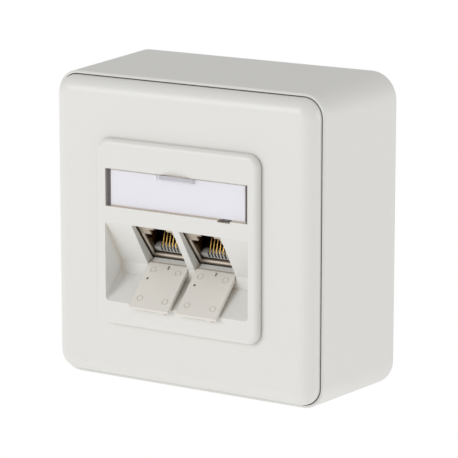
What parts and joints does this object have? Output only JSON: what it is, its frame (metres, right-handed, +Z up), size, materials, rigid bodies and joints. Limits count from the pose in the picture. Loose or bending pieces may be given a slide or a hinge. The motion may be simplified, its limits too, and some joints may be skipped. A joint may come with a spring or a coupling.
{
  "type": "ethernet outlet box",
  "caption": "Surface-mount data outlet: square drafted housing, soft-edged cover frame, label window, and shielded 8-way ports in a slanted pocket behind hinged dust shutters.",
  "frame": {"origin": "centre of the wall face of the housing", "axes": "+Y into the wall, so the outlet faces -Y; +Z up; +X to the right seen from the room"},
  "size_m": [0.084, 0.0426, 0.084],
  "materials": {
    "housing": "moulded, satin gloss",
    "cover": "moulded, soft gloss",
    "plate": "moulded, soft gloss",
    "clear": "clear, polished",
    "card": "uncoated paper card",
    "casting": "die cast",
    "shell": "die cast, nickel plated",
    "insert": "moulded",
    "gold": "gold plated",
    "spring": "tin plated",
    "board": "solder resist",
    "black": "moulded",
    "cap": "die cast, nickel plated",
    "steel": "zinc plated"
  },
  "bodies": {
    "outlet": {"back_box": "housing", "carrier_screws": "steel", "centre_plate": "plate", "circuit_board_left": "board", "circuit_board_right": "board", "contact_insert_left": "insert", "contact_insert_right": "insert", "contacts_left": "gold", "contacts_right": "gold", "cover_frame": "cover", "earth_screw": "steel", "earth_tab": "steel", "ground_springs_left": "spring", "ground_springs_right": "spring", "idc_block_left": "black", "idc_block_right": "black", "idc_contacts_left": "spring", "idc_contacts_right": "spring", "jack_body_left": "shell", "jack_body_right": "shell", "label_card": "card", "plate_screws": "steel", "support_frame": "casting", "wire_cap_left": "cap", "wire_cap_right": "cap"},
    "shutter_left": {"shutter_left": "plate"},
    "shutter_right": {"shutter_right": "plate"},
    "label_window": {"label_window": "clear"}
  },
  "joints": [
    {"name": "left_shutter_hinge", "type": "hinge", "parent": "outlet", "child": "shutter_left", "pos_m": [-0.00735, -0.03236, -0.00907], "axis": [-1, 0, 0], "range_deg": [0, 101.84]},
    {"name": "right_shutter_hinge", "type": "hinge", "parent": "outlet", "child": "shutter_right", "pos_m": [0.00735, -0.03236, -0.00907], "axis": [-1, 0, 0], "range_deg": [0, 101.84]},
    {"name": "label_window_pull", "type": "slide", "parent": "outlet", "child": "label_window", "axis": [0, -1, 0], "range_m": [0, 0.005]}
  ]
}
